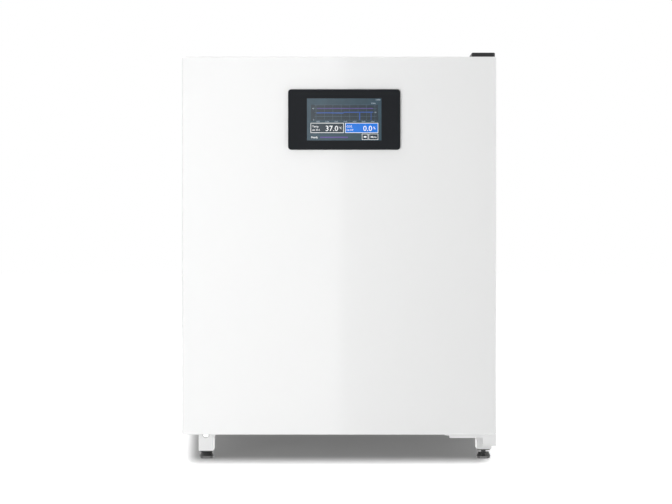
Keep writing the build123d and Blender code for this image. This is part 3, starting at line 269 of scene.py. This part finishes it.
def line(shapes, points, width):
    """Adds a line through photograph pixels, as one quad for each of its runs."""
    half = width / 2
    for (x0, y0), (x1, y1) in zip(points, points[1:]):
        if abs(x1 - x0) >= abs(y1 - y0):
            quad = [(x0, y0 + half), (x1, y1 + half), (x1, y1 - half), (x0, y0 - half)]
        else:
            quad = [(x0 - half, y0), (x0 + half, y0), (x1 + half, y1), (x1 - half, y1)]
        shapes.append([(at_x(px), at_z(py)) for px, py in quad])


def frame_line(shapes, x0, y0, x1, y1, width):
    """Adds the outline of a box, in photograph pixels."""
    half = width / 2
    line(shapes, [(x0 - half, y0), (x1 + half, y0)], width)
    line(shapes, [(x0 - half, y1), (x1 + half, y1)], width)
    line(shapes, [(x0, y0), (x0, y1)], width)
    line(shapes, [(x1, y0), (x1, y1)], width)


def printed(name, shapes, look, layer):
    """Turns a list of outlines into one thin piece, a few hundredths of a millimetre up."""
    points, faces = [], []
    depth = SCREEN_FRONT - layer * LAYER
    for outline in shapes:
        faces.append(tuple(range(len(points), len(points) + len(outline))))
        points += [(x, depth, z) for x, z in outline]
    return mesh_piece(name, points, faces, look)


def words(name, entries, look, layer):
    """Sets short words and figures: each entry is text, pixel column, baseline, height of its
    capitals, and the side that the column stands for."""
    made = []
    for text, px, py, height, align in entries:
        curve = bpy.data.curves.new(name, "FONT")
        curve.body = text
        curve.size = height * MM_PER_PX / 1000 / CAPITALS
        curve.align_x = align
        curve.offset = STROKE_GROWTH
        curve.resolution_u = 2
        holder = bpy.data.objects.new(name, curve)
        holder.location = (at_x(px), SCREEN_FRONT - layer * LAYER, at_z(py))
        holder.rotation_euler = (math.pi / 2, 0, 0)
        scene.collection.objects.link(holder)
        made.append(holder)
    bpy.context.view_layer.update()
    graph = bpy.context.evaluated_depsgraph_get()
    points, faces = [], []
    for holder in made:
        mesh = bpy.data.meshes.new_from_object(holder.evaluated_get(graph))
        start = len(points)
        points += [tuple(holder.matrix_world @ v.co) for v in mesh.vertices]
        faces += [tuple(start + i for i in polygon.vertices) for polygon in mesh.polygons]
        bpy.data.meshes.remove(mesh)
        bpy.data.objects.remove(holder)
    return mesh_piece(name, points, faces, look)


dim = lit("screen_dim", (0.05, 0.09, 0.13), (0.10, 0.17, 0.24), 0.5)
grey_text = lit("screen_grey_text", (0.2, 0.25, 0.3), (0.30, 0.36, 0.42), 0.6)
white_text = lit("screen_white_text", (0.5, 0.5, 0.5), (0.75, 0.78, 0.8), 0.75)
blue_fill = lit("screen_blue", (0.0, 0.07, 0.3), (0.0, 0.12, 0.50), 0.9)
chart_blue = lit("screen_chart_blue", (0.02, 0.05, 0.2), (0.02, 0.09, 0.36), 0.6)
chart_violet = lit("screen_chart_violet", (0.06, 0.04, 0.16), (0.09, 0.06, 0.26), 0.5)

shapes = []
patch(shapes, 311, 105, 378, 121)
printed("screen_chart_ground", shapes, screen_black, 1)
CHART_TOP, CHART_BOTTOM = 105.2, 120.4
shapes = []
for row_y in (CHART_TOP, 109.0, 112.8, 116.6, CHART_BOTTOM):
    line(shapes, [(314.5, row_y), (376.5, row_y)], 0.18)
for column in range(8):
    column_x = 316.0 + column * 8.4
    line(shapes, [(column_x, CHART_TOP), (column_x, CHART_BOTTOM)], 0.14)
printed("screen_grid", shapes, dim, 2)
shapes = []
line(shapes, [(317, 108.7), (373, 108.7)], 0.7)
patch(shapes, 320, 136.9, 348, 138.1, 0.5)
printed("screen_violet_lines", shapes, chart_violet, 3)
shapes = []
line(shapes, [(316.5, 113.2), (326, 113.0), (343, 113.4), (344, 112.6), (373, 112.4)], 0.8)
line(shapes, [(359.6, 112.4), (359.6, 120.2)], 0.9)
line(shapes, [(371, 112.4), (371, 120.2)], 0.5)
printed("screen_blue_lines", shapes, chart_blue, 3)
shapes = []
patch(shapes, 310.9, 123.4, 343.5, 132.9, 0.8)
patch(shapes, 362.1, 134.2, 367.9, 139.8, 0.5)
patch(shapes, 368.8, 134.2, 377.9, 139.8, 0.5)
printed("screen_tiles", shapes, screen_black, 3)
shapes = []
patch(shapes, 345.3, 123.4, 377.9, 132.9, 0.8)
printed("screen_blue_tile", shapes, blue_fill, 3)
shapes = []
frame_line(shapes, 310.9, 123.4, 343.5, 132.9, 0.45)
frame_line(shapes, 345.3, 123.4, 377.9, 132.9, 0.45)
frame_line(shapes, 362.1, 134.2, 367.9, 139.8, 0.35)
frame_line(shapes, 368.8, 134.2, 377.9, 139.8, 0.35)
patch(shapes, 363.7, 136.3, 366.4, 137.8, 0.5)
printed("screen_frames", shapes, white_text, 4)
words("screen_figures", [
    ("37.0", 338.3, 131.2, 5.3, "RIGHT"),
    ("0.0", 372.2, 131.2, 5.3, "RIGHT"),
    ("°C", 338.6, 129.3, 2.2, "LEFT"),
    ("%", 373.1, 129.4, 2.4, "LEFT"),
    ("Temp.", 312.2, 127.6, 1.9, "LEFT"),
    ("set 37.0", 312.2, 130.9, 1.7, "LEFT"),
    ("CO2", 346.6, 127.6, 1.9, "LEFT"),
    ("set 0.0", 346.6, 130.9, 1.7, "LEFT"),
    ("Ready", 311.2, 138.4, 1.9, "LEFT"),
    ("Menu", 370.6, 138.0, 1.8, "LEFT"),
], white_text, 5)
words("screen_small_words", [
    ("12:00", 380.2, 100.8, 1.5, "RIGHT"),
    ("Chart", 375.5, 104.2, 1.3, "RIGHT"),
    ("40", 314.2, 109.4, 1.3, "RIGHT"),
    ("0", 314.2, 120.8, 1.3, "RIGHT"),
    ("20", 376.2, 113.2, 1.2, "RIGHT"),
] + [(f"{hour}:00", 316.0 + (hour - 10) * 9.1, 122.4, 1.2, "LEFT") for hour in range(10, 17)],
      grey_text, 5)


# The studio


def plane(name, corners, look, glossy_only=False):
    """A flat card of the studio."""
    mesh = bpy.data.meshes.new(name)
    mesh.from_pydata(corners, [], [tuple(range(len(corners)))])
    card = bpy.data.objects.new(name, mesh)
    scene.collection.objects.link(card)
    mesh.materials.append(look)
    if glossy_only:
        card.visible_camera = card.visible_diffuse = card.visible_transmission = False
        card.visible_shadow = False
    return card


def seen_ray(tree):
    """1 for rays from the camera, from mirrors and through glass."""
    path = tree.nodes.new("ShaderNodeLightPath")
    total = path.outputs["Is Camera Ray"]
    for ray in ("Is Glossy Ray", "Is Transmission Ray"):
        step = tree.nodes.new("ShaderNodeMath")
        step.operation = "MAXIMUM"
        tree.links.new(total, step.inputs[0])
        tree.links.new(path.outputs[ray], step.inputs[1])
        total = step.outputs["Value"]
    return total


AMBIENT = 0.43
world = bpy.data.worlds.new("studio")
scene.world = world
world.use_nodes = True
tree = world.node_tree
tree.nodes.clear()
mixed = tree.nodes.new("ShaderNodeMixShader")
tree.links.new(seen_ray(tree), mixed.inputs["Fac"])
for socket, strength in ((1, AMBIENT), (2, 1.0)):
    backdrop = tree.nodes.new("ShaderNodeBackground")
    backdrop.inputs["Color"].default_value = (1, 1, 1, 1)
    backdrop.inputs["Strength"].default_value = strength
    tree.links.new(backdrop.outputs["Background"], mixed.inputs[socket])
surface(tree, mixed.outputs["Shader"], "ShaderNodeOutputWorld")

# The floor: pale and matte, with a painted shadow under the object, where its real shadow also falls:
# its colour is greyer and its glow for seen rays weaker there, and it is white away from it.
# The rectangle of painted shadow fades out past its half size, and gets narrower towards the front.
FLOOR = 30.0
SHADE_MIDDLE, SHADE_HALF = (-0.0025, 0.05, 0.0), (0.315, 0.26, 0.0)
SHADE_FADE_X, SHADE_FADE_Y = 0.04, 0.226
SHADE_TAPER = 0.08
# Near and far values of the floor's colour and glow: the near ones paint the object's shadow
FLOOR_PAINTED_SHADOW_GREY = (0.42, 0.9)
FLOOR_GLOW_AND_PAINTED_SHADOW = (0.072, 0.64)
floor_look, tree = empty_material("floor")


def vector_step(operation, value, other=None):
    """One step of vector arithmetic in the floor's material, with a constant or another value."""
    step = tree.nodes.new("ShaderNodeVectorMath")
    step.operation = operation
    tree.links.new(value, step.inputs[0])
    if isinstance(other, tuple):
        step.inputs[1].default_value = other
    elif other is not None:
        tree.links.new(other, step.inputs[1])
    return step.outputs["Value" if operation in ("LENGTH", "DOT_PRODUCT") else "Vector"]


place = tree.nodes.new("ShaderNodeTexCoord").outputs["Object"]
from_middle = vector_step("ABSOLUTE", vector_step("SUBTRACT", place, SHADE_MIDDLE))
taper = tree.nodes.new("ShaderNodeCombineXYZ")
tree.links.new(vector_step("DOT_PRODUCT", place, (0, SHADE_TAPER, 0)), taper.inputs["X"])
past_half = vector_step("SUBTRACT", from_middle, SHADE_HALF)
narrowed = vector_step("SUBTRACT", past_half, taper.outputs["Vector"])
outside = vector_step("MAXIMUM", narrowed, (0, 0, 0))
away = vector_step("LENGTH", vector_step("DIVIDE", outside, (SHADE_FADE_X, SHADE_FADE_Y, 1)))


def fading(near, far):
    """A value that goes smoothly from near to far, away from the rectangle of painted shadow."""
    ramp = tree.nodes.new("ShaderNodeMapRange")
    ramp.interpolation_type = "SMOOTHSTEP"
    return mapped(tree, ramp, away, (0.0, 1.0, near, far))


matte = tree.nodes.new("ShaderNodeBsdfDiffuse")
shade = tree.nodes.new("ShaderNodeCombineColor")
# Painted shadow: the floor's colour is greyer near the object
painted_shadow_grey = fading(*FLOOR_PAINTED_SHADOW_GREY)
for socket in ("Red", "Green", "Blue"):
    tree.links.new(painted_shadow_grey, shade.inputs[socket])
tree.links.new(shade.outputs["Color"], matte.inputs["Color"])
glow = glowing(tree, 0.0)
# Painted shadow: the glow that the camera and mirrors see is weaker near the object, and makes the floor
# white away from it
lift = tree.nodes.new("ShaderNodeMath")
lift.operation = "MULTIPLY"
tree.links.new(seen_ray(tree), lift.inputs[0])
tree.links.new(fading(*FLOOR_GLOW_AND_PAINTED_SHADOW), lift.inputs[1])
tree.links.new(lift.outputs["Value"], glow.inputs["Strength"])
both = tree.nodes.new("ShaderNodeAddShader")
tree.links.new(matte.outputs["BSDF"], both.inputs[0])
tree.links.new(glow.outputs["Emission"], both.inputs[1])
surface(tree, both.outputs["Shader"])
floor = plane("floor", [(-FLOOR, -FLOOR, 0), (FLOOR, -FLOOR, 0), (FLOOR, FLOOR, 0), (-FLOOR, FLOOR, 0)],
              floor_look)
floor.visible_glossy = False


def area_lamp(name, place, target, size, power):
    """A soft square lamp that faces its target."""
    data = bpy.data.lights.new(name, "AREA")
    data.shape = "SQUARE"
    data.size = size
    data.energy = power
    lamp = bpy.data.objects.new(name, data)
    lamp.location = place
    lamp.rotation_mode = "QUATERNION"
    lamp.rotation_quaternion = (Vector(target) - Vector(place)).to_track_quat("-Z", "Y")
    scene.collection.objects.link(lamp)
    lamp.visible_glossy = False
    return lamp


area_lamp("key", (-1.6, -3.9, 0.25), (0, -0.3, 0.35), 1.2, 78)
area_lamp("fill", (2.8, -3.0, 0.5), (0, -0.2, 0.35), 1.6, 18)
area_lamp("top", (-0.3, -0.5, 6.0), (0, 0, 0.4), 4.5, 120)
area_lamp("back", (0.6, 5.0, 2.5), (0, 0.3, 0.45), 3.0, 40)

# The reflected card behind the camera: its brighter left part ends in a soft upright edge
CARD_Y = -5.4
CARD_LOW, CARD_HIGH = -3, 5
CARD_LEFT, CARD_RIGHT = -6.0, 6.0
CARD_EDGE = 0.035
CARD_SOFTNESS = 0.006
CARD_PEAK = 4.0
card_look, tree = empty_material("card")
place = tree.nodes.new("ShaderNodeTexCoord")
split = tree.nodes.new("ShaderNodeSeparateXYZ")
tree.links.new(place.outputs["Object"], split.inputs["Vector"])
along = tree.nodes.new("ShaderNodeMapRange")
along.inputs["From Min"].default_value = CARD_LEFT
along.inputs["From Max"].default_value = CARD_RIGHT
tree.links.new(split.outputs["X"], along.inputs["Value"])
steps = tree.nodes.new("ShaderNodeValToRGB")
tree.links.new(along.outputs["Result"], steps.inputs["Fac"])
stops = [(CARD_LEFT, 1.0), (-1.6, 1.6), (-0.9, 2.6), (-0.55, 2.4), (-0.2, 2.15),
         (CARD_EDGE - CARD_SOFTNESS, 2.05), (CARD_EDGE + CARD_SOFTNESS, 1.15),
         (0.75, 0.35), (1.6, 0.5), (CARD_RIGHT, 1.0)]
ends = list(steps.color_ramp.elements)
for x, strength in stops:
    if x in (CARD_LEFT, CARD_RIGHT):
        element = ends[x == CARD_RIGHT]
    else:
        element = steps.color_ramp.elements.new((x - CARD_LEFT) / (CARD_RIGHT - CARD_LEFT))
    element.color = (*[strength / CARD_PEAK] * 3, 1.0)
glow = glowing(tree, CARD_PEAK)
tree.links.new(steps.outputs["Color"], glow.inputs["Color"])
surface(tree, glow.outputs["Emission"])
plane("card", [(CARD_LEFT, CARD_Y, CARD_LOW), (CARD_RIGHT, CARD_Y, CARD_LOW),
               (CARD_RIGHT, CARD_Y, CARD_HIGH), (CARD_LEFT, CARD_Y, CARD_HIGH)],
      card_look, glossy_only=True)

# A bright card below the floor, which only mirrors see, for the light line under the door
LOW_CARD_GLOW = 3.0
low_look, tree = empty_material("low_card")
surface(tree, glowing(tree, LOW_CARD_GLOW).outputs["Emission"])
plane("low_card", [(-2.5, -4.0, -1), (2.5, -4.0, -1), (2.5, -0.5, -1), (-2.5, -0.5, -1)], low_look,
      glossy_only=True)

# The camera, square to the door, with the photograph's frame
DISTANCE = 3.6
SENSOR = 36.0
camera_data = bpy.data.cameras.new("camera")
camera_data.sensor_width = SENSOR
camera_data.lens = SENSOR * DISTANCE / (IMAGE[0] * MM_PER_PX / 1000)
camera = bpy.data.objects.new("camera", camera_data)
camera.location = (at_x(IMAGE[0] / 2), DOOR_FRONT - DISTANCE, at_z(IMAGE[1] / 2))
camera.rotation_euler = (math.pi / 2, 0, 0)
scene.collection.objects.link(camera)
scene.camera = camera
